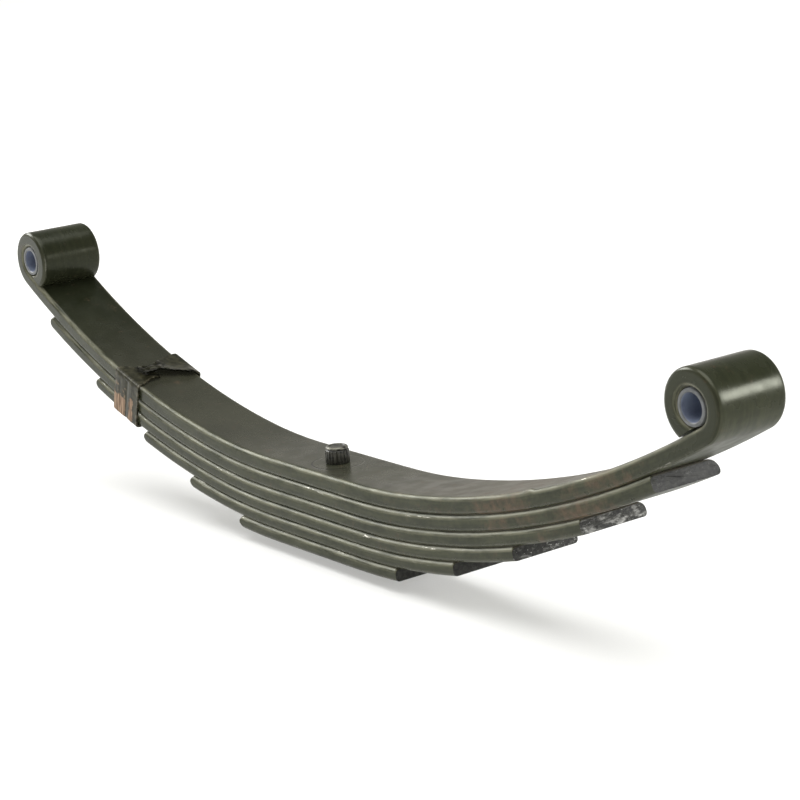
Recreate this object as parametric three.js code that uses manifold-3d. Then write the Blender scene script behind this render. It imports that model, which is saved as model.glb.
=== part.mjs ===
// Six-leaf trailer leaf spring with two upturned full-wrap eyes.
// Millimetres. X runs along the spring, front eye at -X and rear eye at +X. Y is across the
// leaves and +Z is up. The origin is the bottom centre of the whole spring's bounding box.
import * as THREE from 'three';
import { mergeVertices } from 'three/addons/utils/BufferGeometryUtils.js';
import Module from 'manifold-3d';

// ---- driving dimensions ----
const LEAF_WIDTH = 44.45;                           // 1 3/4 in spring steel
const LEAF_THICK = [10.0, 9.1, 8.4, 8.0, 8.0, 7.8]; // main leaf first
const LEAF_REACH = [0, 308, 245, 185, 131, 78.5];   // half lengths along the arc, leaves 2 to 6
const LEAF_GAP = 0.3;                               // clearance between neighbouring leaves
const EDGE_TOP_R = 2.8;                             // rolled edge radius, upper corners
const EDGE_LOW_R = 2.0;                             // rolled edge radius, lower corners

const FRONT_ARM = 344.6;                            // arc from centre bolt to the front eye's root
const REAR_ARM = 354.6;                             // arc from centre bolt to the rear eye's root
const SEAT_FLAT_HALF = 21;                          // dead-flat seat either side of the bolt
const SEAT_BLEND_END = 66;                          // where the free arc is fully developed
const FRONT_ARC_K = 0.00164;                        // free-arc curvature of the front arm, 1/mm
const REAR_ARC_K = 0.00150;                         // free-arc curvature of the rear arm
const SHOULDER_K = 0.00082;                         // extra set beside the axle seat
const SHOULDER_AT = 75;
const SHOULDER_SPREAD = 26;

const EYE_BORE_R = 9.85;
const EYE_WRAP_INNER = 243;                         // wrap end on the bore side, degrees
const EYE_WRAP_OUTER = 207;                         // wrap end on the outer side, scarfed to the leaf
const EYE_STEP = 11.7;                               // facet size round an eye, degrees

const BUSH_R = 9.5;
const BUSH_BORE_R = 7.15;                           // for a 9/16 in eye bolt
const BUSH_LENGTH = 43.6;
const BUSH_CHAMFER = 0.5;
const BUSH_SEGMENTS = 36;

const BOLT_SHANK_R = 4.75;                          // 3/8 in centre bolt
const BOLT_HOLE_R = 5.1;
const HOLE_FACETS = 24;                             // a multiple of 8
const HOLE_PATCH = 9;                               // the hole's own patch of the seat, either side of it
const BOLT_HEAD_R = 7.25;
const BOLT_HEAD_H = 10;
const BOLT_RIDGES = 20;
const RIDGE_DEPTH = 0.55;
const NUT_FLATS = 14.3;
const NUT_H = 5.6;
const NUT_BORE_R = 5.1;
const BOLT_END = 0.4;                               // thread past the nut

const CLIP_AT = -206;                               // arc position of the rebound clip
const CLIP_WIDTH = 28.6;
const CLIP_THICK = 1.5;
const CLIP_CLEAR = 0.45;                            // clip to leaf clearance
const CLIP_LEAVES = 3;
const EAR_NEAR_END = -4;                            // where the near ear stops, across the leaf
const EAR_FAR_END = -14;                            // where the far ear stops, lying over the near ear

const PITCH = 14;                                   // station spacing along the leaves

// ---- the arc all leaves share: the main leaf's upper face ----
const smooth = (u) => {
  const v = Math.min(Math.max(u, 0), 1);
  return v * v * (3 - 2 * v);
};

function curvature(s) {
  const a = Math.abs(s);
  const arc = s < 0 ? FRONT_ARC_K : REAR_ARC_K;
  const developed = smooth((a - SEAT_FLAT_HALF) / (SEAT_BLEND_END - SEAT_FLAT_HALF));
  const shoulder = Math.exp(-(((a - SHOULDER_AT) / SHOULDER_SPREAD) ** 2));
  return arc * developed + SHOULDER_K * shoulder * smooth((a - SEAT_FLAT_HALF) / 20);
}

// point and slope at arc length s from the centre bolt
function arcAt(s) {
  const n = Math.max(2, Math.ceil(Math.abs(s) * 2));
  const ds = s / n;
  let [x, z, slope] = [0, 0, 0];
  for (let i = 0; i < n; i++) {
    const middle = slope + (curvature((i + 0.25) * ds) * ds) / 2;
    x += Math.cos(middle) * ds;
    z += Math.sin(middle) * ds;
    slope += curvature((i + 0.5) * ds) * ds;
  }
  return { x, z, slope };
}

// a point at the given depth below the arc, square to it
function below(s, depth) {
  const { x, z, slope } = arcAt(s);
  return [x + Math.sin(slope) * depth, z - Math.cos(slope) * depth];
}

const depthOf = (leaf) =>
  LEAF_THICK.slice(0, leaf).reduce((sum, t) => sum + t + LEAF_GAP, 0);
const packDepth = depthOf(6) - LEAF_GAP;

// ---- closed bodies from rings of points ----
function signedVolume(p, index) {
  const [a, b, c] = [new THREE.Vector3(), new THREE.Vector3(), new THREE.Vector3()];
  let v = 0;
  for (let i = 0; i < index.length; i += 3) {
    a.fromArray(p, 3 * index[i]);
    b.fromArray(p, 3 * index[i + 1]);
    c.fromArray(p, 3 * index[i + 2]);
    v += a.dot(b.cross(c)) / 6;
  }
  return v;
}

// Fills a level four-cornered face, but for a round hole on the Z axis. The rim's points are
// returned in order of direction, with the turn that follows the corners.
function holedFace(points, index, corners, radius) {
  const n = HOLE_FACETS;
  const at = (i) => points.slice(3 * i, 3 * i + 3);
  const height = at(corners[0])[2];
  const rim = Array.from({ length: n }, (_, q) => {
    const a = Math.PI / 4 + (2 * Math.PI * q) / n;
    points.push(radius * Math.cos(a), radius * Math.sin(a), height);
    return points.length / 3 - 1;
  });
  const quadrant = corners.map((c) => {
    const [x, y] = at(c);
    return (n / 4) * (y > 0 ? (x > 0 ? 0 : 1) : (x > 0 ? 3 : 2));
  });
  const turn = (quadrant[1] - quadrant[0] + n) % n === n / 4 ? 1 : -1;
  const rimAt = (q) => rim[(q + 2 * n) % n];
  corners.forEach((corner, k) => {
    for (let m = -n / 8; m < n / 8; m++) {
      index.push(rimAt(quadrant[k] + turn * (m + 1)), rimAt(quadrant[k] + turn * m), corner);
    }
    index.push(corner, corners[(k + 1) % 4], rimAt(quadrant[k] + (turn * n) / 8));
  });
  return { rimAt, turn };
}

// rings: lists of [x, y, z] of one length, joined in order and capped at both ends.
// drilled: the ring and the two sides, up and down, between which a hole runs.
function loft(rings, drilled = { ring: -1, sides: [] }) {
  const n = rings[0].length;
  const points = rings.flat(2);
  const index = [];
  const rims = [];
  for (let r = 0; r + 1 < rings.length; r++) {
    for (let i = 0; i < n; i++) {
      const [a, b] = [r * n + i, r * n + ((i + 1) % n)];
      if (r === drilled.ring && drilled.sides.includes(i)) {
        rims.push(holedFace(points, index, [a, b, b + n, a + n], BOLT_HOLE_R));
      } else {
        index.push(a, b, b + n, a, b + n, a + n);
      }
    }
  }
  if (rims.length === 2) {
    const [{ rimAt: up, turn }, { rimAt: down }] = rims;
    for (let q = 0; q < HOLE_FACETS; q++) {
      index.push(up(q), up(q + turn), down(q + turn), up(q), down(q + turn), down(q));
    }
  }
  for (const [ring, first] of [[rings[0], 0], [rings.at(-1), (rings.length - 1) * n]]) {
    const mid = points.length / 3;
    points.push(...[0, 1, 2].map((k) => ring.reduce((sum, q) => sum + q[k], 0) / n));
    for (let i = 0; i < n; i++) {
      const [a, b] = [first + i, first + ((i + 1) % n)];
      index.push(...(first === 0 ? [b, a, mid] : [a, b, mid]));
    }
  }
  if (signedVolume(points, index) < 0) index.reverse();
  const g = new THREE.BufferGeometry();
  g.setAttribute('position', new THREE.Float32BufferAttribute(points, 3));
  g.setIndex(index);
  return g;
}

function closed(geometry) {
  const g = geometry.clone();
  for (const name of Object.keys(g.attributes)) {
    if (name !== 'position') g.deleteAttribute(name);
  }
  return mergeVertices(g, 1e-4);
}

// ---- boolean work ----
const wasm = await Module();
wasm.setup();

function toManifold(geometry) {
  const g = closed(geometry);
  return new wasm.Manifold(new wasm.Mesh({
    numProp: 3,
    vertProperties: new Float32Array(g.attributes.position.array),
    triVerts: new Uint32Array(g.index.array),
  }));
}

function fromManifold(solid) {
  const mesh = solid.getMesh();
  const g = new THREE.BufferGeometry();
  g.setAttribute('position', new THREE.BufferAttribute(new Float32Array(mesh.vertProperties), 3));
  g.setIndex([...mesh.triVerts]);
  return g;
}

const cut = (body, tool) => fromManifold(toManifold(body).subtract(toManifold(tool)));
const common = (body, tool) => fromManifold(toManifold(body).intersect(toManifold(tool)));

// ---- leaves ----
// rolled-edge bar section as [across, height above the lower face]
function barSection(thick) {
  const half = LEAF_WIDTH / 2;
  const corner = (cy, cz, r, from) => [0, 45, 90].map((d) => {
    const a = THREE.MathUtils.degToRad(from + d);
    return [cy + r * Math.cos(a), cz + r * Math.sin(a)];
  });
  return [
    ...corner(half - EDGE_TOP_R, thick - EDGE_TOP_R, EDGE_TOP_R, 0),
    ...corner(-half + EDGE_TOP_R, thick - EDGE_TOP_R, EDGE_TOP_R, 90),
    ...corner(-half + EDGE_LOW_R, EDGE_LOW_R, EDGE_LOW_R, 180),
    ...corner(half - EDGE_LOW_R, EDGE_LOW_R, EDGE_LOW_R, 270),
  ];
}

// stations: {top: [x, z], low: [x, z]} along the bar, with the bolt hole after one of them
function bar(stations, thick) {
  const section = barSection(thick);
  const half = section.length / 4;
  const rings = stations.map(({ top, low }) => section.map(([y, h]) => {
    const u = h / thick;
    return [low[0] + (top[0] - low[0]) * u, y, low[1] + (top[1] - low[1]) * u];
  }));
  const ring = stations.findIndex(({ top }) => Math.abs(top[0] + HOLE_PATCH) < 1e-6);
  return loft(rings, { ring, sides: [half - 1, 3 * half - 1] });
}

// shared station positions, so that the facets of neighbouring leaves nest
function stationsBetween(from, to) {
  const inner = [-SEAT_FLAT_HALF, -HOLE_PATCH, HOLE_PATCH, SEAT_FLAT_HALF];
  for (let s = SEAT_FLAT_HALF + 6; s < 360; s += PITCH) inner.push(s, -s);
  const kept = inner.filter((s) => s > from + 1.5 && s < to - 1.5);
  return [from, ...kept, to].sort((a, b) => a - b);
}

const station = (s, top, low) => ({ top: below(s, top), low: below(s, low) });

// side is -1 for the front eye and +1 for the rear one; runs from the root round to the tip
function eyeCentre(side) {
  const s = side < 0 ? -FRONT_ARM : REAR_ARM;
  const { slope } = arcAt(s);
  const [x, z] = below(s, -EYE_BORE_R);
  return { x, z, slope };
}

function eyeStations(side) {
  const { x, z, slope } = eyeCentre(side);
  const outerR = EYE_BORE_R + LEAF_THICK[0];
  // turn counts degrees from the root, where the leaf meets the bottom of the eye
  const at = (turn, r) => {
    const a = slope - Math.PI / 2 + side * THREE.MathUtils.degToRad(turn);
    return [x + r * Math.cos(a), z + r * Math.sin(a)];
  };
  const endInner = EYE_WRAP_INNER + 90;
  const endOuter = EYE_WRAP_OUTER + 90;
  const last = Math.round(endInner / EYE_STEP);
  const parting = 0.72; // share of the wrap after which the scarfed tip begins
  return Array.from({ length: last }, (_, i) => {
    const u = (i + 1) / last;
    const scarf = Math.max(0, (u - parting) / (1 - parting));
    const inner = endInner * u;
    const outer = inner - (endInner - endOuter) * scarf;
    return { top: at(inner, EYE_BORE_R), low: at(outer, outerR) };
  });
}

function mainLeaf() {
  const straight = stationsBetween(-FRONT_ARM, REAR_ARM)
    .map((s) => station(s, 0, LEAF_THICK[0]));
  const stations = [...eyeStations(-1).reverse(), ...straight, ...eyeStations(1)];
  return bar(stations, LEAF_THICK[0]);
}

function shortLeaf(number) {
  const reach = LEAF_REACH[number - 1];
  const top = depthOf(number - 1);
  const thick = LEAF_THICK[number - 1];
  const stations = stationsBetween(-reach, reach).map((s) => station(s, top, top + thick));
  return bar(stations, thick);
}

// ---- eye bushings ----
function bushing(side) {
  const { x, z } = eyeCentre(side);
  const [h, c] = [BUSH_LENGTH / 2, BUSH_CHAMFER];
  const profile = [
    [BUSH_BORE_R + c, -h], [BUSH_R - c, -h], [BUSH_R, -h + c], [BUSH_R, h - c],
    [BUSH_R - c, h], [BUSH_BORE_R + c, h], [BUSH_BORE_R, h - c], [BUSH_BORE_R, -h + c],
    [BUSH_BORE_R + c, -h],
  ].map(([r, y]) => new THREE.Vector2(r, y));
  return new THREE.LatheGeometry(profile, BUSH_SEGMENTS).translate(x, 0, z);
}

// ---- centre bolt and nut ----
function centreBolt() {
  const n = BOLT_RIDGES * 4;
  const seat = LEAF_GAP;
  const end = -packDepth - LEAF_GAP - NUT_H - BOLT_END;
  const ring = (height, radiusAt) => Array.from({ length: n }, (_, i) => {
    const a = (2 * Math.PI * i) / n;
    const r = radiusAt(i);
    return [r * Math.cos(a), r * Math.sin(a), height];
  });
  const round = (height, r) => ring(height, () => r);
  const ridged = (height) => ring(height, (i) => BOLT_HEAD_R - (i % 4 < 2 ? 0 : RIDGE_DEPTH));
  return loft([
    round(seat + BOLT_HEAD_H, BOLT_HEAD_R - 1.5),
    round(seat + BOLT_HEAD_H - 0.9, BOLT_HEAD_R - 0.5),
    round(seat + BOLT_HEAD_H - 1.6, BOLT_HEAD_R - 0.5),
    round(seat + BOLT_HEAD_H - 1.9, BOLT_HEAD_R - 0.9),
    ridged(seat + BOLT_HEAD_H - 2.2),
    ridged(seat),
    round(seat, BOLT_SHANK_R),
    round(end + 0.8, BOLT_SHANK_R),
    round(end, BOLT_SHANK_R - 0.8),
  ]);
}

function centreNut() {
  const top = -packDepth - LEAF_GAP;
  const corner = NUT_FLATS / Math.sqrt(3);
  const hex = new THREE.CylinderGeometry(corner, corner, NUT_H, 6).rotateX(Math.PI / 2);
  const dome = new THREE.LatheGeometry([
    [0, -NUT_H / 2], [NUT_FLATS / 2, -NUT_H / 2], [corner + 0.2, -NUT_H / 2 + 0.8],
    [corner + 0.2, NUT_H / 2 - 0.4], [corner - 0.6, NUT_H / 2], [0, NUT_H / 2],
  ].map(([r, y]) => new THREE.Vector2(r, y)), 48).rotateX(Math.PI / 2);
  const bore = new THREE.CylinderGeometry(NUT_BORE_R, NUT_BORE_R, 20, 28).rotateX(Math.PI / 2);
  return cut(common(hex, dome), bore).translate(0, 0, top - NUT_H / 2);
}

// ---- rebound clip: one strap round the first leaves, its ends folded over the top ----
function reboundClip() {
  const side = LEAF_WIDTH / 2 + CLIP_CLEAR + CLIP_THICK / 2;
  const floor = -(depthOf(CLIP_LEAVES) - LEAF_GAP) - CLIP_CLEAR - CLIP_THICK / 2;
  const low = CLIP_CLEAR + CLIP_THICK / 2;
  const high = low + CLIP_THICK + CLIP_CLEAR;
  // strap centreline as [across, height], from the near ear's end round to the far ear's end
  const path = [
    [EAR_NEAR_END, low], [-side + 3, low], [-side + 0.8, low - 0.7], [-side, low - 3],
    [-side, floor + 2], [-side + 2, floor], [side - 2, floor], [side, floor + 2],
    [side, low - 3], [side - 0.8, low - 0.6], [side - 3, low + 0.2],
    [EAR_NEAR_END + 6, low + 0.5], [EAR_NEAR_END + 1.2, high], [EAR_FAR_END, high + 0.3],
  ];
  const { x, z, slope } = arcAt(CLIP_AT);
  const place = (along, across, height) => [
    x + along * Math.cos(slope) - height * Math.sin(slope),
    across,
    z + along * Math.sin(slope) + height * Math.cos(slope),
  ];
  const rings = path.map((p, i) => {
    const before = path[Math.max(i - 1, 0)];
    const after = path[Math.min(i + 1, path.length - 1)];
    const unit = ([ay, az], [by, bz]) => {
      const d = Math.hypot(by - ay, bz - az);
      return d > 0 ? [(by - ay) / d, (bz - az) / d] : null;
    };
    const u = unit(before, p) ?? unit(p, after);
    const v = unit(p, after) ?? u;
    const mean = [u[0] + v[0], u[1] + v[1]];
    const length = Math.hypot(...mean);
    const normal = [-mean[1] / length, mean[0] / length];
    // mitre, so the strap keeps its thickness round each bend
    const reach = CLIP_THICK / 2 / (length / 2);
    const w = CLIP_WIDTH / 2;
    return [[-w, -reach], [w, -reach], [w, reach], [-w, reach]].map(([along, off]) =>
      place(along, p[0] + normal[0] * off, p[1] + normal[1] * off));
  });
  return loft(rings);
}

// ---- assembly ----
const paint = (color) => new THREE.MeshStandardMaterial({ color, metalness: 0.4, roughness: 0.5 });

const group = new THREE.Group();
const add = (name, geometry, color) => {
  const mesh = new THREE.Mesh(closed(geometry), paint(color));
  mesh.name = name;
  group.add(mesh);
};

add('main_leaf', mainLeaf(), 0x3c3d33);
add('leaf_2', shortLeaf(2), 0x45463b);
add('leaf_3', shortLeaf(3), 0x3c3d33);
add('leaf_4', shortLeaf(4), 0x45463b);
add('leaf_5', shortLeaf(5), 0x3c3d33);
add('leaf_6', shortLeaf(6), 0x45463b);
add('front_bushing', bushing(-1), 0xaeb4bf);
add('rear_bushing', bushing(1), 0xaeb4bf);
add('centre_bolt', centreBolt(), 0x2a2b26);
add('centre_nut', centreNut(), 0x2a2b26);
add('rebound_clip', reboundClip(), 0x6b5646);

// origin at the bottom centre of the box
const box = new THREE.Box3().setFromObject(group);
const middle = box.getCenter(new THREE.Vector3());
for (const mesh of group.children) mesh.geometry.translate(-middle.x, -middle.y, -box.min.z);

export default group;
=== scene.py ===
"""Leaf spring: the visual model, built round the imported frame. Lengths are in mm until metres()."""

import math

import bmesh
import bpy
import numpy as np
from mathutils import Euler, Matrix, Vector


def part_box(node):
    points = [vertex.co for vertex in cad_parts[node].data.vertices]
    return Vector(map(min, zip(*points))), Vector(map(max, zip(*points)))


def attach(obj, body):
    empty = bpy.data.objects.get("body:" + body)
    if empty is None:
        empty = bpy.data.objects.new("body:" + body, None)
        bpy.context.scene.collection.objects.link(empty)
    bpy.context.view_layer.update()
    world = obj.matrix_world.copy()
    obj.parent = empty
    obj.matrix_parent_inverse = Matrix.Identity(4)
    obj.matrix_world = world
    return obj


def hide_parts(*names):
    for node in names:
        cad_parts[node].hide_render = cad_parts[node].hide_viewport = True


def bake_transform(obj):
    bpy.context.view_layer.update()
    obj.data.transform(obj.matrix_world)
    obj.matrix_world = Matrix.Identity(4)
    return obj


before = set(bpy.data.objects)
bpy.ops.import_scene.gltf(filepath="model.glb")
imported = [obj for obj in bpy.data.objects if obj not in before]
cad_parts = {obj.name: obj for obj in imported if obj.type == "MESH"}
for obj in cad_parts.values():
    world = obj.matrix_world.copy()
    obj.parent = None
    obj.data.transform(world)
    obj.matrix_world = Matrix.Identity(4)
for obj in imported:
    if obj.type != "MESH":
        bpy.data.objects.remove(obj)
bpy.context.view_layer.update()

# ---- driving dimensions, as in the CAD ----
HALF = 22.225  # half the width of a leaf
THICK = [10.0, 9.1, 8.4, 8.0, 8.0, 7.8]
REACH = [0, 308, 245, 185, 131, 78.5]  # half lengths of leaves 2 to 6
GAP = 0.3  # between neighbouring leaves
ARM = {-1: 344.6, 1: 354.6}  # from the bolt to the root of an eye: -1 is front, 1 is rear
ARC_K = {-1: 0.00164, 1: 0.00150}  # curvature of each arm, per mm
BORE_R = 9.85  # inside of an eye
WRAP_INNER, WRAP_OUTER = 335, 298.3  # degrees round the eye from its root
HEAD_H, HEAD_R = 10.0, 7.25  # head of the centre bolt
BURR_AT = 210  # a nick standing up from the near edge of the main leaf
CLIP_AT, CLIP_HALF = -206, 14.3  # where the clip sits along the leaves, and half its width

bolt_low, bolt_high = (np.array(p) * 1000 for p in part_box("centre_bolt"))
BOLT_X = (bolt_low[0] + bolt_high[0]) / 2
TOP_Z = bolt_high[2] - HEAD_H - GAP


def smooth(u):
    """0 at 0, 1 at 1, with level ends."""
    v = np.clip(u, 0.0, 1.0)
    return v * v * (3 - 2 * v)


def arc_table():
    """The line of the main leaf's top: flat under the axle seat, then a tighter bend, then an even one."""
    seat, bend_at, bend_width, bend_k = 21, 75, 26, 0.00082
    step = 0.25
    s = np.arange(-420, 420.01, step)
    a = np.abs(s)
    free = np.where(s < 0, ARC_K[-1], ARC_K[1]) * smooth((a - seat) / 45)
    k = free + bend_k * np.exp(-(((a - bend_at) / bend_width) ** 2)) * smooth((a - seat) / 20)
    zero = len(s) // 2

    def total(f):
        t = np.concatenate([[0], np.cumsum((f[1:] + f[:-1]) / 2 * step)])
        return t - t[zero]

    slope = total(k)
    return s, total(np.cos(slope)) + BOLT_X, total(np.sin(slope)) + TOP_Z, slope


ARC_S, ARC_X, ARC_Z, ARC_T = arc_table()


def arc(s):
    """Place and slope on that line, s mm along it from the bolt."""
    return np.interp(s, ARC_S, ARC_X), np.interp(s, ARC_S, ARC_Z), np.interp(s, ARC_S, ARC_T)


def below(s, depth):
    """Points depth mm under that line, square to it."""
    x, z, t = arc(s)
    return np.stack([x + np.sin(t) * depth, z - np.cos(t) * depth], -1)


def ripple(seed, *axes, waves=9):
    """Smooth seeded noise, about -1 to 1. axes are coordinate arrays divided by their feature size."""
    r = np.random.default_rng(seed)
    out = 0
    for _ in range(waves):
        f = r.normal(0, 1, len(axes))
        out = out + np.sin(sum(a * w for a, w in zip(axes, f)) * 2.2 + r.uniform(0, 6.3))
    return out / math.sqrt(waves)


# ---- mesh helpers ----
def metres(points):
    return (np.asarray(points, float) / 1000).tolist()


def tidy(mesh):
    """Welds points in one place and turns every face outward."""
    work = bmesh.new()
    work.from_mesh(mesh)
    bmesh.ops.remove_doubles(work, verts=work.verts, dist=1e-7)
    bmesh.ops.recalc_face_normals(work, faces=work.faces)
    work.to_mesh(mesh)
    work.free()


def make(name, verts, faces, slots, materials, body=None, attributes=None, angle=35):
    """A closed mesh object from points in mm. attributes hold one value or vector a point."""
    mesh = bpy.data.meshes.new(name)
    mesh.from_pydata(metres(verts), [], [list(map(int, f)) for f in faces])
    mesh.validate()
    for key, values in (attributes or {}).items():
        values = np.asarray(values, np.float32)
        kind = "FLOAT_VECTOR" if values.ndim == 2 else "FLOAT"
        made = mesh.attributes.new(key, kind, "POINT")
        made.data.foreach_set("vector" if values.ndim == 2 else "value", values.ravel())
    for material in materials:
        mesh.materials.append(material)
    mesh.polygons.foreach_set("material_index", np.asarray(slots, np.int32))
    mesh.polygons.foreach_set("use_smooth", np.ones(len(mesh.polygons), bool))
    obj = bpy.data.objects.new(name, mesh)
    bpy.context.scene.collection.objects.link(obj)
    tidy(mesh)
    mesh.set_sharp_from_angle(angle=math.radians(angle))
    if body:
        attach(obj, body)
    return obj


# ---- materials ----
class Tree:
    """A node material. Every method but put, set and bump returns a socket."""

    def __init__(self, name):
        self.material = bpy.data.materials.new(name)
        self.material.use_nodes = True
        self.nodes = self.material.node_tree.nodes
        self.links = self.material.node_tree.links
        self.shader = self.nodes["Principled BSDF"]

    def put(self, socket, value):
        if isinstance(value, bpy.types.NodeSocket):
            self.links.new(value, socket)
        else:
            socket.default_value = value

    def add(self, kind, inputs=None, output=0, **settings):
        node = self.nodes.new(kind)
        for key, value in settings.items():
            setattr(node, key, value)
        for key, value in (inputs or {}).items():
            self.put(node.inputs[key], value)
        return node.outputs[output]

    def attribute(self, name, output="Fac"):
        return self.add("ShaderNodeAttribute", output=output, attribute_name=name)

    def noise(self, vector, scale, detail=3.0, rough=0.55):
        return self.add("ShaderNodeTexNoise",
                        {"Vector": vector, "Scale": scale, "Detail": detail, "Roughness": rough})

    def math(self, operation, a, b=0.0, clamp=False):
        return self.add("ShaderNodeMath", {0: a, 1: b}, operation=operation, use_clamp=clamp)

    def ramp(self, factor, low, high):
        """0 at low, 1 at high."""
        return self.add("ShaderNodeMapRange", {"Value": factor, "From Min": low, "From Max": high},
                        interpolation_type="SMOOTHSTEP")

    def stretch(self, vector, scale):
        return self.add("ShaderNodeMapping", {"Vector": vector, "Scale": scale})

    def mix(self, factor, a, b):
        return self.add("ShaderNodeMix", {0: factor, 6: a, 7: b}, output=2, data_type="RGBA")

    def blend(self, factor, a, b):
        return self.add("ShaderNodeMix", {0: factor, 2: a, 3: b}, output=0, data_type="FLOAT")

    def set(self, name, value):
        self.put(self.shader.inputs[name], value)

    def bump(self, height, strength, distance):
        self.set("Normal", self.add("ShaderNodeBump",
                                    {"Height": height, "Strength": strength, "Distance": distance}))


def rgb(r, g, b):
    return (r, g, b, 1.0)


LEAF_STEP = 900  # the leaves' texture coordinates start this far apart, so that no two look alike


def leaf_paint():
    """Worn olive-black paint with painted light: painted shade in its dust film, painted sheen on the tops
    and painted highlight along the edges. leaf_co runs along, across and up each leaf.
    """
    t = Tree("worn_olive_paint_and_painted_light")
    at = t.attribute("leaf_co", "Vector")
    edge, rust, dust_and_painted_shade, haze_and_painted_sheen = (t.attribute(name) for name in ("edge", "rust", "dust_and_painted_shade", "haze_and_painted_sheen"))
    broad = t.noise(at, 24, 4)
    fine = t.noise(at, 380, 4, 0.6)
    drawn = t.noise(t.stretch(at, (40.0, 420.0, 420.0)), 1.0, 4)
    colour = t.mix(t.ramp(broad, 0.3, 0.7), rgb(0.010, 0.012, 0.006), rgb(0.017, 0.019, 0.010))
    # dust and painted shade: lines of dust drawn along the leaf, and a lighter film over all of it that thins
    # where shade is painted
    lines = t.math("MULTIPLY", t.math("MULTIPLY", t.ramp(drawn, 0.45, 0.75), dust_and_painted_shade), 0.3)
    colour = t.mix(lines, colour, rgb(0.040, 0.042, 0.026))
    grain = t.ramp(t.math("ADD", drawn, fine), 0.75, 1.25)
    film = t.math("MULTIPLY", t.math("MINIMUM", dust_and_painted_shade, 1.0), t.blend(grain, 0.08, 0.42))
    colour = t.mix(film, colour, rgb(0.060, 0.063, 0.031))
    # a pale powder colour over the top faces, strongest on the rear half: dust, and painted sheen standing in
    # for the light the top gives back there
    powder_and_painted_sheen = t.math("MULTIPLY", haze_and_painted_sheen, t.blend(broad, 0.35, 0.57))
    colour = t.mix(powder_and_painted_sheen, colour, rgb(0.150, 0.133, 0.112))
    patch = t.math("ADD", t.noise(at, 120, 6, 0.66), t.math("MULTIPLY", rust, 0.30))
    rusty = t.ramp(patch, 0.58, 0.92)
    tint = t.mix(t.noise(at, 600, 3), rgb(0.060, 0.034, 0.019), rgb(0.15, 0.090, 0.060))
    colour = t.mix(t.math("MULTIPLY", rusty, 0.66), colour, tint)
    # a thin, broken near-black ring round the head of the centre bolt, in a shallow bumped groove
    bolt = (LEAF_STEP / 1000, 0.0, THICK[0] / 1000)
    away = t.add("ShaderNodeVectorMath", {0: at, 1: bolt}, output=1, operation="DISTANCE")
    ring = t.ramp(t.math("ABSOLUTE", t.math("SUBTRACT", away, 0.0155)), 0.0008, 0.0003)
    colour = t.mix(t.math("MULTIPLY", ring, t.ramp(broad, 0.40, 0.55)), colour, rgb(0.002, 0.002, 0.002))
    # lighter worn paint along the rolled edges, strong enough to be partly painted highlight
    chip_and_highlight_noise = t.noise(t.stretch(at, (48.0, 420.0, 420.0)), 1.0, 4, 0.62)
    worn = t.math("MULTIPLY", edge, t.ramp(chip_and_highlight_noise, 0.30, 0.62))
    colour = t.mix(t.math("MULTIPLY", worn, 0.66), colour, rgb(0.19, 0.185, 0.130))
    # bright bare-steel scratches on the edges, partly painted glints
    scratch_and_glint_noise = t.noise(t.stretch(at, (24.0, 220.0, 220.0)), 1.0, 6, 0.75)
    scratch_and_painted_glint = t.math("MULTIPLY", edge, t.ramp(scratch_and_glint_noise, 0.63, 0.68))
    colour = t.mix(scratch_and_painted_glint, colour, rgb(0.75, 0.73, 0.66))
    t.set("Base Color", colour)
    t.set("Metallic", t.math("MULTIPLY", scratch_and_painted_glint, 0.6))
    rough = t.blend(t.ramp(t.noise(at, 85, 3), 0.32, 0.68), 0.14, 0.25)
    matt = t.math("ADD", t.math("MULTIPLY", rusty, 0.4), dust_and_painted_shade)
    rough = t.math("ADD", rough, t.math("MULTIPLY", matt, 0.20), clamp=True)
    rough = t.math("ADD", rough, t.math("MULTIPLY", haze_and_painted_sheen, 0.34))
    t.set("Roughness", rough)
    t.set("Specular IOR Level", 0.24)
    t.set("Specular Tint", rgb(0.97, 1.0, 0.80))
    height = t.math("ADD", t.math("MULTIPLY", fine, 0.6), t.math("MULTIPLY", t.noise(at, 1500, 2), 0.3))
    height = t.math("ADD", height, t.math("MULTIPLY", rusty, 0.5))
    height = t.math("SUBTRACT", height, t.math("MULTIPLY", ring, 2.5))
    waves = t.noise(t.stretch(at, (70.0, 150.0, 150.0)), 1.0, 2)
    height = t.math("ADD", height, t.math("MULTIPLY", waves, 1.2))
    t.bump(height, 0.26, 0.00012)
    return t.material


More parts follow.
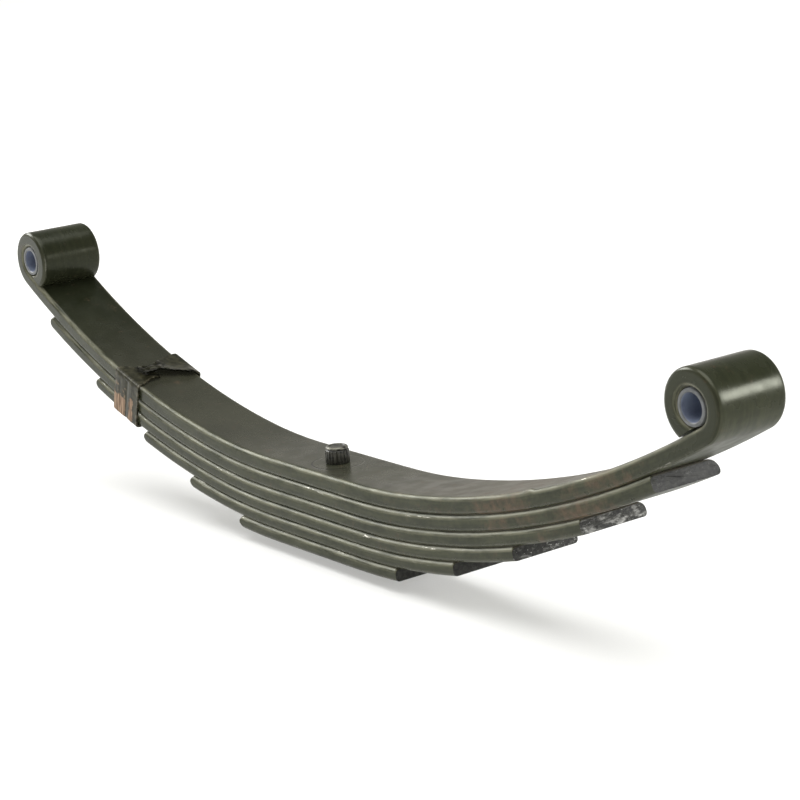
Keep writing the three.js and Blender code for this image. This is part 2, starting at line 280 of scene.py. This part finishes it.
def sheared_steel(name, dark, flecks, tone):
    """Cut end of a leaf: bare steel with paint left on it.

    dark is how much paint covers it, flecks how many bright spots it has, tone how bright the steel is.
    """
    t = Tree(name)
    at = t.attribute("leaf_co", "Vector")
    streak = t.noise(t.stretch(at, (300.0, 130.0, 420.0)), 1.0, 5, 0.7)
    spots = t.noise(at, 330, 4, 0.7)
    dull, clear = rgb(0.12 * tone, 0.12 * tone, 0.11 * tone), rgb(0.46 * tone, 0.46 * tone, 0.43 * tone)
    steel = t.mix(t.ramp(streak, 0.32, 0.68), dull, clear)
    paint = t.mix(t.ramp(spots, 0.35, 0.7), rgb(0.006, 0.006, 0.005), rgb(0.035, 0.036, 0.030))
    torn = t.noise(t.stretch(at, (200.0, 110.0, 240.0)), 1.0, 6, 0.72)
    cover = t.ramp(t.math("ADD", torn, dark), 0.46, 0.62)
    colour = t.mix(cover, steel, paint)
    specks = t.noise(t.stretch(at, (400.0, 380.0, 620.0)), 1.0, 4, 0.75)
    fleck = t.math("MULTIPLY", t.ramp(specks, 0.60, 0.66), flecks)
    colour = t.mix(fleck, colour, rgb(0.66, 0.66, 0.63))
    t.set("Base Color", colour)
    bare = t.math("MAXIMUM", t.math("SUBTRACT", 1.0, cover), fleck)
    t.set("Metallic", t.math("MULTIPLY", bare, 0.35))
    t.set("Roughness", t.blend(cover, 0.42, 0.5))
    t.set("Specular IOR Level", 0.3)
    t.bump(t.math("ADD", streak, t.math("MULTIPLY", cover, 0.8)), 0.6, 0.0003)
    return t.material


def dark_fastener():
    t = Tree("dark_fastener_paint")
    at = t.add("ShaderNodeTexCoord", output="Object")
    rim = t.attribute("edge")
    spots = t.noise(at, 700, 4, 0.65)
    colour = t.mix(t.ramp(spots, 0.35, 0.7), rgb(0.006, 0.006, 0.005), rgb(0.034, 0.034, 0.026))
    worn = t.math("MULTIPLY", rim, t.ramp(t.noise(at, 350, 3), 0.35, 0.55))
    colour = t.mix(t.math("MULTIPLY", worn, 0.7), colour, rgb(0.20, 0.195, 0.155))
    t.set("Base Color", colour)
    t.set("Metallic", t.math("MULTIPLY", worn, 0.4))
    t.set("Roughness", t.blend(spots, 0.26, 0.46))
    t.set("Specular IOR Level", 0.35)
    t.bump(spots, 0.4, 0.0002)
    return t.material


def clip_paint():
    """Paint that has come off in patches down to copper-brown metal, with painted shade: black in the
    creases.
    """
    t = Tree("clip_worn_paint_and_painted_shade")
    at = t.attribute("leaf_co", "Vector")
    rust, edge, painted_shade = t.attribute("rust"), t.attribute("edge"), t.attribute("painted_shade")
    spots = t.noise(at, 260, 4, 0.62)
    colour = t.mix(t.ramp(spots, 0.35, 0.7), rgb(0.009, 0.009, 0.004), rgb(0.034, 0.032, 0.018))
    streak = t.noise(t.stretch(at, (620.0, 60.0, 60.0)), 1.0, 3)
    copper = t.mix(t.ramp(streak, 0.35, 0.68), rgb(0.11, 0.068, 0.042), rgb(0.34, 0.235, 0.160))
    cover = t.ramp(t.math("ADD", rust, t.math("MULTIPLY", t.math("SUBTRACT", spots, 0.5), 1.4)), 0.35, 0.65)
    colour = t.mix(cover, colour, copper)
    worn = t.math("MULTIPLY", edge, t.ramp(t.noise(at, 300, 3), 0.45, 0.62))
    colour = t.mix(t.math("MULTIPLY", worn, 0.30), colour, rgb(0.20, 0.18, 0.13))
    # painted shade: black in the creases, on the far ear's raised edge and tip, and on the near ear under it
    colour = t.mix(painted_shade, colour, rgb(0.002, 0.002, 0.001))
    t.set("Base Color", colour)
    t.set("Specular IOR Level", 0.2)
    t.set("Specular Tint", rgb(1.0, 0.98, 0.80))
    t.set("Roughness", t.blend(cover, 0.30, 0.6))
    t.bump(t.math("ADD", spots, t.math("MULTIPLY", streak, 0.6)), 0.5, 0.0003)
    return t.material


def nylon(name, low, high, rough):
    t = Tree(name)
    at = t.add("ShaderNodeTexCoord", output="Object")
    cloud = t.noise(at, 160, 4, 0.6)
    t.set("Base Color", t.mix(t.ramp(cloud, 0.3, 0.7), low, high))
    t.set("Roughness", t.blend(cloud, rough, rough + 0.12))
    t.bump(t.noise(at, 900, 2), 0.15, 0.0001)
    return t.material


PAINT = leaf_paint()
ENDS = {
    2: sheared_steel("sheared_end_dark", 0.20, 0.10, 0.15),
    3: sheared_steel("sheared_end_bright", 0.05, 0.35, 0.54),
    4: sheared_steel("sheared_end_flecked", 0.14, 0.9, 0.6),
    5: sheared_steel("sheared_end_painted", 0.40, 0.02, 0.15),
}
ENDS[6] = ENDS[5]

# ---- leaves ----
TOP_R, LOW_R = 2.8, 2.6  # rolled edges, upper and lower
PATCH = 9  # half the side of the square that holds the bolt hole
HOLE_R = 5.1
PLATE_Y = [17.6, 15, 12, 9, 6, 3, 0, -3, -6, -9, -12, -15, -17.6]


def section(thick):
    """Bar section as (across, height, edge wear and painted edge highlight), from the far top corner round to
    the near side and back.
    """

    def corner(cy, cz, r, start, wear):
        a = np.radians(np.linspace(start, start + 90, 7))
        return [(cy + r * math.cos(q), cz + r * math.sin(q), wear * math.sin((q - a[0]) * 2)) for q in a]

    lift = np.linspace(thick - TOP_R, LOW_R, 5)[1:-1]
    out = corner(HALF - TOP_R, thick - TOP_R, TOP_R, 0, 1.0)
    out += [(y, thick, 0) for y in PLATE_Y]
    out += corner(-HALF + TOP_R, thick - TOP_R, TOP_R, 90, 1.0)
    out += [(-HALF, h, 0) for h in lift]
    out += corner(-HALF + LOW_R, LOW_R, LOW_R, 180, 0.25)
    out += [(y, 0, 0) for y in reversed(PLATE_Y)]
    out += corner(HALF - LOW_R, LOW_R, LOW_R, 270, 0.25)
    out += [(HALF, h, 0) for h in lift[::-1]]
    return np.array(out)


def leaf(name, number, s, top, low, thick, rust_spots, end_slots, far_r=0.0, burrs=()):
    """One bar, with the bolt's hole between s = -PATCH and PATCH.

    s, top and low hold one entry a station; rust_spots are (place, width, strength) along s; far_r is the
    radius the shear pulled the far upper corner of the rear end to; burrs are places of nicks that stand up.
    """
    sec = section(thick)
    n, m = len(s), len(sec)
    y, h, edge_wear_and_highlight = sec.T
    share = h / thick
    centre = low[:, None, :] + (top - low)[:, None, :] * share[None, :, None]
    verts = np.empty((n, m, 3))
    verts[:, :, 0], verts[:, :, 2] = centre[:, :, 0], centre[:, :, 1]
    verts[:, :, 1] = y
    if far_r > TOP_R:  # the shear has pulled the far upper corner of the rear end round
        pulled = 14  # mm along the end
        r = (TOP_R + (far_r - TOP_R) * smooth((pulled - (s[-1] - s)) / pulled))[:, None]
        dy, dh = y[None, :] - (HALF - r), h[None, :] - (thick - r)
        reach = np.hypot(dy, dh)
        pull = np.where((dy > 0) & (dh > 0) & (reach > r), r / np.maximum(reach, 1e-6), 1.0)
        verts[:, :, 1] += np.where(pull < 1, dy * (pull - 1), 0)
        fall = np.where(pull < 1, dh * (1 - pull), 0) / thick
        step = (top - low)[:, None, :] * fall[:, :, None]
        verts[:, :, 0] -= step[:, :, 0]
        verts[:, :, 2] -= step[:, :, 1]
    # rolled edges are never quite straight
    side = np.abs(y) > HALF - 1e-3
    verts[:, side, 1] *= 1 - 0.0018 * (1 + ripple(number, s / 30)[:, None])
    co = np.empty((n, m, 3))
    co[:, :, 0], co[:, :, 1], co[:, :, 2] = s[:, None] + LEAF_STEP * number, y, h
    edge = np.repeat(edge_wear_and_highlight[None, :], n, 0)
    rust = np.zeros((n, m))
    for at, width, strength in rust_spots:
        rust += strength * np.exp(-(((s - at) / width) ** 2))[:, None] * np.ones(m)
    on_top = h > thick - 0.01
    rust *= np.where(on_top, 0.4, 1.0)
    # a lighter film of dust on the rolled sides of the pack and underneath, hardly any on the eyes; it thins
    # towards the front end and the lower part of each side, as painted shade
    toward_eyes = smooth((np.abs(s) - 300) / 60)[:, None]
    front = 0.45 + 0.55 * smooth((s + 260) / 220)[:, None]
    on_side = 0.45 + 0.55 * smooth((h / thick - 0.15) / 0.45)
    dust_and_painted_shade = np.where(np.abs(y) > HALF - 1.8, on_side, 0.10)[None, :] * front * (1 - 0.85 * toward_eyes)
    dust_and_painted_shade = np.where(h[None, :] < 0.4, 1.4 * (1 - 0.8 * smooth((np.abs(s) - 352) / 25))[:, None], dust_and_painted_shade)
    # a pale haze over the top faces, mostly on the rear half: dust, and painted sheen
    haze_and_painted_sheen = 0.22 * smooth((s + 310) / 110) + 0.78 * smooth((s - 40) / 130)
    haze_and_painted_sheen = on_top[None, :] * haze_and_painted_sheen[:, None] * (1 - toward_eyes)
    near_edge = (y < -HALF + 2.6) & (h > thick - 2.6)
    for at in burrs:
        verts[:, :, 2] += 1.3 * np.exp(-(((s - at) / 2.4) ** 2))[:, None] * near_edge[None, :]
    index = np.arange(n * m).reshape(n, m)
    verts, co = verts.reshape(-1, 3), co.reshape(-1, 3)
    edge, rust, dust_and_painted_shade, haze_and_painted_sheen = edge.ravel(), rust.ravel(), dust_and_painted_shade.ravel(), haze_and_painted_sheen.ravel()
    faces, slots, holes = [], [], []
    # every face round the bar but those of the square round the bolt, above and below
    inner = [i for i in range(m) if abs(y[i]) <= PATCH + 1e-6 and (h[i] < 1e-6 or h[i] > thick - 1e-6)]
    first = int(np.argmin(np.abs(s + PATCH)))
    last = int(np.argmin(np.abs(s - PATCH)))
    flat = set(inner)
    for r in range(n - 1):
        for i in range(m):
            j = (i + 1) % m
            if first <= r < last and i in flat and j in flat and abs(h[i] - h[j]) < 1e-6:
                continue
            faces.append((index[r, i], index[r, j], index[r + 1, j], index[r + 1, i]))
            slots.append(0)
    extra, extra_co = [], []

    def add(points, coords):
        start = n * m + len(extra)
        extra.extend(points)
        extra_co.extend(coords)
        return list(range(start, start + len(points)))

    # the hole: each square is joined to a round rim, and the two rims to each other
    rims = []
    for level in (thick, 0.0):
        ring = [i for i in inner if abs(h[i] - level) < 1e-6]
        loop = [index[first, i] for i in ring] + [index[r, ring[-1]] for r in range(first + 1, last)]
        loop += [index[last, i] for i in reversed(ring)]
        loop += [index[r, ring[0]] for r in range(last - 1, first, -1)]
        points = verts[loop]
        angle = np.arctan2(points[:, 1], points[:, 0] - BOLT_X)
        z = points[0, 2]
        round_rim = [(HOLE_R * math.cos(a), HOLE_R * math.sin(a)) for a in angle]
        rim = add([(BOLT_X + px, py, z) for px, py in round_rim],
                  [(LEAF_STEP * number + px, py, level) for px, py in round_rim])
        for k in range(len(loop)):
            j = (k + 1) % len(loop)
            faces.append((loop[k], loop[j], rim[j], rim[k]))
            slots.append(0)
        rims.append(dict(zip(np.round(angle, 4), rim)))
    angles = sorted(rims[0])
    for k in range(len(angles)):
        a, b = angles[k], angles[(k + 1) % len(angles)]
        faces.append((rims[0][a], rims[0][b], rims[1][b], rims[1][a]))
        slots.append(0)

    # the ends: rings drawn in to the middle, with the torn surface a shear leaves
    noise = np.random.default_rng(number)
    for r, inward, slot in ((0, 1, end_slots[0]), (n - 1, -1, end_slots[1])):
        ring = index[r]
        points, coords = verts[ring], co[ring]
        mid = points.mean(0)
        along = verts[index[r + inward]].mean(0) - mid
        along /= np.linalg.norm(along)
        previous = list(ring)
        for scale in (0.97, 0.88, 0.72, 0.5, 0.25):
            depth = (0.06 if slot == 0 else 0.22) * (0.3 + noise.random(m))
            if scale > 0.96:
                depth *= 0
            shrunk = mid + (points - mid) * scale + along * depth[:, None]
            flat_co = coords.copy()
            flat_co[:, 1:] = coords.mean(0)[1:] + (coords - coords.mean(0))[:, 1:] * scale
            new = add(list(shrunk), list(flat_co))
            for i in range(m):
                j = (i + 1) % m
                faces.append((previous[i], previous[j], new[j], new[i]))
                slots.append(slot)
            previous = new
        hub = add([mid + along * 0.1], [coords.mean(0)])[0]
        for i in range(m):
            faces.append((previous[i], previous[(i + 1) % m], hub))
            slots.append(slot)
    count = len(extra)
    verts = np.concatenate([verts, np.array(extra)])
    co = np.concatenate([co, np.array(extra_co)]) / 1000
    edge = np.concatenate([edge, np.zeros(count)])
    rust = np.concatenate([rust, np.zeros(count)])
    dust_and_painted_shade = np.concatenate([dust_and_painted_shade, np.full(count, 0.3)])
    haze_and_painted_sheen = np.concatenate([haze_and_painted_sheen, np.zeros(count)])
    materials = [PAINT] + ([ENDS[number]] if number in ENDS else [])
    obj = make(name, verts, faces, slots, materials,
               attributes={"leaf_co": co, "edge": edge, "rust": rust, "dust_and_painted_shade": dust_and_painted_shade, "haze_and_painted_sheen": haze_and_painted_sheen})
    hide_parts("main_leaf" if number == 1 else f"leaf_{number}")
    return obj


def straight_stations(start, end):
    """Stations between two ends, closer together round the bolt hole."""
    inner = np.arange(-PATCH, PATCH + 0.1, 3)
    out = np.concatenate([inner, -np.arange(PATCH + 3, 400, 3.5), np.arange(PATCH + 3, 400, 3.5)])
    return np.sort(out[(out > start + 1.2) & (out < end - 1.2)])


def depth_of(number):
    """How far a leaf's top lies under the main leaf's top."""
    return sum(THICK[:number - 1]) + GAP * (number - 1)


def short_leaf(number, rust_spots, far_r):
    reach, thick, top = REACH[number - 1], THICK[number - 1], depth_of(number)
    tips = np.array([0, 0.15, 0.45, 0.9, 1.5, 2.2, 3.0])
    s = np.concatenate([-reach + tips, straight_stations(-reach + 3, reach - 3), (reach - tips)[::-1]])

    def drop(off, r):
        return np.where(off < r, r - np.sqrt(np.maximum(r * r - (r - off) ** 2, 0)), 0)

    # the shear draws the upper edge down; the front tips are rounded off below as well
    sink = drop(s + reach, 2.2) + drop(reach - s, 1.3) * 0.7
    rise = drop(s + reach, 3.0)
    upper = below(s, top + sink)
    lower = below(s, top + thick - rise)
    return leaf(f"leaf_{number}_bar", number, s, upper, lower, thick, rust_spots, (0, 1), far_r)


def eye(side):
    """Stations from the root of an eye round to its tip, as (s, inner points, outer points)."""
    root = side * ARM[side]
    x, z, slope = (float(v) for v in arc(root))
    cx, cz = x - math.sin(slope) * BORE_R, z + math.cos(slope) * BORE_R
    turn = np.concatenate([np.arange(3, WRAP_INNER - 1, 3.0), [WRAP_INNER]])
    share = turn / WRAP_INNER
    outer = turn - (WRAP_INNER - WRAP_OUTER) * np.maximum(0, (share - 0.72) / 0.28)

    def at(angle, r):
        a = slope - math.pi / 2 + side * np.radians(angle)
        return np.stack([cx + r * np.cos(a), cz + r * np.sin(a)], -1)

    s = root + side * np.radians(turn) * (BORE_R + THICK[0] / 2)
    return s, at(turn, BORE_R), at(outer, BORE_R + THICK[0] - 0.12 * smooth(share * 6))


def main_leaf():
    s = np.concatenate([[-ARM[-1]], straight_stations(-ARM[-1], ARM[1]), [ARM[1]]])
    upper, lower = below(s, 0), below(s, THICK[0])
    front, rear = eye(-1), eye(1)
    s = np.concatenate([front[0][::-1], s, rear[0]])
    upper = np.concatenate([front[1][::-1], upper, rear[1]])
    lower = np.concatenate([front[2][::-1], lower, rear[2]])
    spots = [(110, 22, 0.45), (182, 24, 1.0), (268, 30, 0.8), (30, 15, 0.15)]
    return leaf("main_leaf_bar", 1, s, upper, lower, THICK[0], spots, (0, 0), burrs=(BURR_AT,))


leaves = [
    main_leaf(),
    short_leaf(2, [(180, 20, 0.6), (246, 26, 1.0), (-40, 20, 0.15)], 6.0),
    short_leaf(3, [(212, 18, 0.6), (60, 12, 0.15)], 4.2),
    short_leaf(4, [(90, 14, 0.3)], 3.2),
    short_leaf(5, [(40, 12, 0.2)], 3.0),
    short_leaf(6, [(-20, 12, 0.2)], 3.0),
]


# ---- round pieces ----
def turned(name, profile, centre, axis, materials, slot_of, node, body,
           steps=96, radius_at=None, wear=None):
    """A profile of (radius, height) turned about Y or Z.

    slot_of(level) gives each ring's material, radius_at(level, angle, r) shapes a ring further, and wear is
    the edge wear of each level.
    """
    a = np.linspace(0, 2 * math.pi, steps, endpoint=False)
    verts, edges = [], []
    for level, (r, h) in enumerate(profile):
        rr = radius_at(level, a, r) if radius_at else np.full(steps, r)
        across, up = rr * np.cos(a), rr * np.sin(a)
        ring = (across, np.full(steps, h), up) if axis == "Y" else (across, up, np.full(steps, h))
        verts.append(np.stack(ring, -1) + centre)
        edges += [wear[level] if wear else 0.0] * steps
    n = len(profile)
    closed = profile[0][0] > 0.01 and profile[-1][0] > 0.01
    faces, slots = [], []
    for level in range(n if closed else n - 1):
        up = (level + 1) % n
        for i in range(steps):
            j = (i + 1) % steps
            faces.append((level * steps + i, level * steps + j, up * steps + j, up * steps + i))
            slots.append(slot_of(level))
    verts = np.concatenate(verts)
    obj = make(name, verts, faces, slots, materials, body, {"edge": edges})
    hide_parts(node)
    return obj


NYLON = nylon("bushing_nylon", rgb(0.075, 0.080, 0.080), rgb(0.14, 0.145, 0.15), 0.42)
# the bore and the end faces are the same nylon; the bore's lighter, bluer colour is painted light inside the
# bore
BORE_PAINTED_LIGHT = nylon("bushing_bore_painted_light", rgb(0.105, 0.120, 0.175), rgb(0.145, 0.172, 0.225), 0.34)


def bushing(side):
    root = side * ARM[side]
    x, z, slope = (float(v) for v in arc(root))
    centre = np.array([x - math.sin(slope) * BORE_R, 0, z + math.cos(slope) * BORE_R])
    end = 21.8
    profile = [(7.15, -end + 0.9), (7.35, -end + 0.35), (7.8, -end), (8.9, -end), (9.3, -end + 0.15),
               (9.5, -end + 0.6), (9.5, -8), (9.42, -7.6), (9.42, 7.6), (9.5, 8),
               (9.5, end - 0.6), (9.3, end - 0.15), (8.9, end), (7.8, end), (7.35, end - 0.35),
               (7.15, end - 0.9), (7.15, 0.4), (7.22, 0), (7.15, -0.4)]
    name = "rear" if side > 0 else "front"
    return turned(f"{name}_bushing_sleeve", profile, centre, "Y", [NYLON, BORE_PAINTED_LIGHT],
                  lambda level: 1 if level >= 15 or level == 0 else 0,
                  f"{name}_bushing", f"{name}_end")


bushing(-1)
bushing(1)

FASTENER = dark_fastener()
FLUTES = 20


def centre_bolt():
    """Dished and ridged head, plain shank, chamfered end."""
    base, top = TOP_Z + 0.05, TOP_Z + GAP + HEAD_H
    profile = [(0, top - 0.5), (4.4, top - 0.45), (5.0, top), (5.7, top), (6.5, top - 0.5), (6.75, top - 1.0),
               (6.7, top - 1.5), (6.3, top - 1.8), (6.9, top - 2.3), (HEAD_R, top - 2.8),
               (HEAD_R, base + 0.5), (7.0, base), (4.75, base), (4.75, 5.4), (4.72, 0.7), (4.0, 0), (0, 0)]
    # how deep the ridges are cut, by level of the profile
    fluted = {8: 0.3, 9: 1.0, 10: 1.0, 11: 0.8}

    def shape(level, a, r):
        depth = 0.75 * fluted.get(level, 0)
        groove = np.clip(np.cos(a * FLUTES) * 1.6 - 0.1, -1, 1) * 0.5 + 0.5
        worn = 1 + 0.25 * ripple(3, np.cos(a) * 3, np.sin(a) * 3)
        return r - depth * groove * worn * 0.8

    wear = [0.1, 0.15, 0.8, 1, 1, 0.8, 0.2, 0, 0.25, 0.25, 0.12, 0.1, 0, 0, 0.2, 0.5, 0.3]
    return turned("centre_bolt_head_and_shank", profile, np.array([BOLT_X, 0, 0]), "Z", [FASTENER],
                  lambda level: 0, "centre_bolt", "leaf_pack", FLUTES * 12, shape, wear)


def centre_nut():
    """Hexagon with turned corners."""
    flats, top, low = 14.3, 6.25, 0.4
    corner = flats / math.sqrt(3)
    profile = [(5.1, top - 0.6), (5.7, top), (flats / 2 - 0.1, top), (corner - 0.5, top - 0.25),
               (corner + 0.1, top - 0.7), (corner + 0.1, low + 1.2), (corner - 0.3, low + 0.5),
               (flats / 2 - 0.1, low), (5.7, low), (5.1, low + 0.6)]

    def shape(level, a, r):
        hexagon = flats / 2 / np.cos((a + math.pi / 6) % (math.pi / 3) - math.pi / 6)
        return np.minimum(r, hexagon) if r > 5.8 else np.full(len(a), r)

    wear = [0, 0, 0.2, 0.3, 0.5, 0.5, 0.4, 0.3, 0.1, 0]
    return turned("centre_nut_hex", profile, np.array([BOLT_X, 0, 0]), "Z", [FASTENER],
                  lambda level: 0, "centre_nut", "leaf_pack", 144, shape, wear)


centre_bolt()
centre_nut()


# ---- rebound clip ----
def rebound_clip():
    """One strap round leaves 1 to 3.

    Its path runs from the near ear's tip, down the near leg, under the leaves, up the far leg and over to the
    tip of the far ear, which lies on the near one.
    """
    thick, clear = 1.15, 0.43
    side = HALF + clear + thick / 2
    floor = -(depth_of(4) - GAP) - clear - thick / 2
    low = clear + thick / 2
    corners = [(-4, low + 0.2), (-side, low), (-side, floor), (side, floor), (side, low + 0.3),
               (9, low + 0.7), (-1, low + 2.0), (-14, low + 2.5)]
    radii = [0, 2.4, 2.2, 2.2, 2.4, 3, 3, 0]
    path = []
    for k, (point, r) in enumerate(zip(corners, radii)):
        p = np.array(point, float)
        if r == 0:
            path.append(p)
            continue
        before, after = np.array(corners[k - 1], float), np.array(corners[k + 1], float)
        u, v = (before - p) / np.linalg.norm(before - p), (after - p) / np.linalg.norm(after - p)
        for q in np.linspace(0, 1, 7):
            path.append((p + u * r) * (1 - q) ** 2 + p * 2 * q * (1 - q) + (p + v * r) * q * q)
    path = np.array(path)
    step = np.concatenate([[0], np.cumsum(np.linalg.norm(np.diff(path, axis=0), axis=1))])
    u = np.unique(np.concatenate([np.arange(0, step[-1], 1.1), step]))
    line = np.stack([np.interp(u, step, path[:, k]) for k in (0, 1)], -1)
    tangent = np.gradient(line, u, axis=0)
    tangent /= np.linalg.norm(tangent, axis=1)[:, None]
    normal = np.stack([tangent[:, 1], -tangent[:, 0]], -1)
    v = np.linspace(-1, 1, 27)
    total = u[-1]
    near_ear = smooth((13 - u) / 7)  # 1 out on the near ear
    far_ear = smooth((u - total + 37) / 6)
    torn = smooth((u - total + 25) / 9)  # 1 where the far ear is crumpled, toward its end
    # the ears narrow towards their ends, and the legs keep their width
    width = 1 - 0.50 * smooth((18 - u) / 15) - 0.62 * smooth((u - total + 33) / 24)
    skew = 2.0 * smooth((14 - u) / 14) + 1.5 * smooth((u - total + 26) / 26)
    x0, z0, slope = (float(q) for q in arc(CLIP_AT))
    along = v[None, :] * CLIP_HALF * width[:, None] + skew[:, None]
    jag = ripple(14, u[:, None] / 3.0, np.sign(v)[None, :] * 3) * np.abs(v)[None, :] ** 3
    along = along + jag * 0.9 * (near_ear + far_ear)[:, None]
    leg = ((line[:, 0] < -side + 1.5) & (line[:, 1] < -1.5)).astype(float)

    def lump(at, w):
        return np.exp(-(((v - at) / w) ** 2))

    # ridges beside a groove down the near leg
    ridge = 0.14 * lump(-0.70, 0.12) + 0.12 * lump(-0.34, 0.10) + 0.14 * lump(0.45, 0.14)
    ridge -= 0.40 * lump(0.05, 0.09)
    out = leg[:, None] * ridge[None, :]
    crumple = ripple(11, u[:, None] / 8, v[None, :] * 1.8) * 0.6
    crumple = crumple + ripple(12, u[:, None] / 4.5, v[None, :] * 3) * 0.16
    out = out + torn[:, None] * np.abs(crumple) * 1.3
    out = out + far_ear[:, None] * 1.9 * np.clip(v + 0.1, 0, 1)[None, :] ** 1.5
    out = out + near_ear[:, None] * np.clip(crumple + 0.2, 0, 0.9) * 0.7 * (1 - smooth((u - 12) / 8))[:, None]
    sides = []
    for sign in (0.5, -0.5):
        offset = sign * thick - out
        y = line[:, None, 0] + normal[:, None, 0] * -offset
        h = line[:, None, 1] + normal[:, None, 1] * -offset
        # square to the strap, up from the leaf
        sides.append(np.stack([
            x0 + along * math.cos(slope) - h * math.sin(slope),
            y + 0 * along,
            z0 + along * math.sin(slope) + h * math.cos(slope)], -1))
    n, m = len(u), len(v)
    verts = np.concatenate([q.reshape(-1, 3) for q in sides])
    index = np.arange(2 * n * m).reshape(2, n, m)
    faces = []
    for r in range(n - 1):
        for c in range(m - 1):
            faces.append((index[0, r, c], index[0, r, c + 1], index[0, r + 1, c + 1], index[0, r + 1, c]))
            faces.append((index[1, r, c], index[1, r + 1, c], index[1, r + 1, c + 1], index[1, r, c + 1]))
        for c in (0, m - 1):
            faces.append((index[0, r, c], index[0, r + 1, c], index[1, r + 1, c], index[1, r, c]))
    for c in range(m - 1):
        for r in (0, n - 1):
            faces.append((index[0, r, c], index[1, r, c], index[1, r, c + 1], index[0, r, c + 1]))
    co = np.stack([along + CLIP_AT, u[:, None] + 0 * along, 0 * along], -1).reshape(-1, 3) / 1000
    # paint has come off the lower front part of the leg and off a strip beyond the groove
    down = -line[:, 1]
    fading = 0.35 * smooth((down - 4) / 4) + 0.65 * smooth((down - 14) / 5)
    bare = smooth((0.02 - v) / 0.10)[None, :] * fading[:, None]
    bare = bare + 0.75 * lump(0.45, 0.26)[None, :] * smooth((down - 8) / 6)[:, None]
    rust = leg[:, None] * bare
    edge = (np.abs(v) > 0.9)[None, :] * (1 - 0.8 * far_ear)[:, None] + 0 * along
    # painted shade, black: on the raised edge and the tip of the far ear, in its creases and where it shades
    # the near ear
    painted_shade = far_ear[:, None] * (v > 0.93)[None, :] + smooth((u - total + 2) / 1.5)[:, None]
    crease = smooth((0.26 - np.abs(crumple)) / 0.18) * 0.8 + 0.25
    painted_shade = painted_shade + (torn + near_ear * smooth((12 - u) / 4))[:, None] * crease
    shade = near_ear[:, None] * smooth((9 - u) / 4)[:, None] * (v < -0.1)[None, :]
    painted_shade = np.clip(painted_shade + shade, 0, 1)
    attributes = {"leaf_co": np.concatenate([co, co]), "rust": np.tile(rust.ravel(), 2),
                  "edge": np.tile(edge.ravel(), 2), "painted_shade": np.tile(painted_shade.ravel(), 2)}
    obj = make("rebound_clip_strap", verts, faces, [0] * len(faces), [clip_paint()],
               attributes=attributes, angle=50)
    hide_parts("rebound_clip")
    return obj


bending = leaves + [rebound_clip()]

# the transform of every bending piece is baked into its mesh
for piece in bending:
    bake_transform(piece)


# ---- floor, light and camera ----
def floor():
    t = Tree("pale_floor")
    at = t.add("ShaderNodeTexCoord", output="Object")
    t.set("Base Color", t.mix(t.noise(at, 3, 3), rgb(0.75, 0.75, 0.74), rgb(0.79, 0.79, 0.78)))
    t.set("Roughness", 0.8)
    mesh = bpy.data.meshes.new("floor")
    w = 12  # metres to each side
    mesh.from_pydata([(-w, -w, 0), (w, -w, 0), (w, w, 0), (-w, w, 0)], [], [(0, 1, 2, 3)])
    mesh.materials.append(t.material)
    obj = bpy.data.objects.new("floor", mesh)
    bpy.context.scene.collection.objects.link(obj)


def area(name, location, target, size, power, shadow=True, spread=180):
    lamp = bpy.data.lights.new(name, "AREA")
    lamp.shape, lamp.size, lamp.size_y = "RECTANGLE", size[0], size[1]
    lamp.energy, lamp.use_shadow, lamp.spread = power, shadow, math.radians(spread)
    obj = bpy.data.objects.new(name, lamp)
    bpy.context.scene.collection.objects.link(obj)
    obj.location = location
    obj.rotation_euler = (Vector(target) - Vector(location)).to_track_quat("-Z", "Y").to_euler()
    obj.visible_camera = False


def studio():
    """A tent that is paler at the horizon than overhead, with a wide overhead source and two soft boxes."""
    world = bpy.data.worlds.new("studio")
    world.use_nodes = True
    nodes, links = world.node_tree.nodes, world.node_tree.links
    split = nodes.new("ShaderNodeSeparateXYZ")
    links.new(nodes.new("ShaderNodeTexCoord").outputs["Generated"], split.inputs[0])
    ramp = nodes.new("ShaderNodeValToRGB")
    stops = ramp.color_ramp.elements
    stops[0].position, stops[0].color = 0.0, rgb(0.95, 0.93, 0.91)
    stops[1].position, stops[1].color = 1.0, rgb(0.12, 0.125, 0.115)
    between = ((0.16, rgb(0.95, 0.90, 0.84)), (0.27, rgb(0.46, 0.45, 0.42)),
               (0.52, rgb(0.40, 0.40, 0.37)), (0.74, rgb(0.20, 0.205, 0.19)))
    for position, colour in between:
        stop = stops.new(position)
        stop.color = colour
    links.new(split.outputs["Z"], ramp.inputs[0])
    links.new(ramp.outputs[0], nodes["Background"].inputs["Color"])
    bpy.context.scene.world = world
    bpy.context.scene.view_settings.view_transform = "Standard"
    sun = bpy.data.lights.new("overhead", "SUN")
    sun.energy, sun.angle = 3.0, math.radians(60)
    obj = bpy.data.objects.new("overhead", sun)
    bpy.context.scene.collection.objects.link(obj)
    obj.rotation_euler = Vector((0.10, -0.06, 0.99)).to_track_quat("Z", "Y").to_euler()
    # the left box draws a line of light along every rolled edge, the right one a band on the rear eye
    area("left_box", (-3.2, -1.0, 2.24), (0, 0, 0.08), (2.4, 1.6), 150, shadow=False)
    area("right_box", (0.90, 0.55, 0.41), (0.33, 0, 0.15), (0.32, 0.30), 0.33, spread=40)


floor()
studio()

camera = bpy.data.objects.new("camera", bpy.data.cameras.new("camera"))
bpy.context.scene.collection.objects.link(camera)
camera.data.lens, camera.data.sensor_width = 110.11, 36
place = Vector((1167.04 + BOLT_X, -771.03, 378.43 + TOP_Z)) / 1000
turn = Euler([math.radians(a) for a in (76.1401, 4.5901, 53.797)])
camera.matrix_world = Matrix.LocRotScale(place, turn, None)
camera.data.clip_start, camera.data.clip_end = 0.01, 60
bpy.context.scene.camera = camera
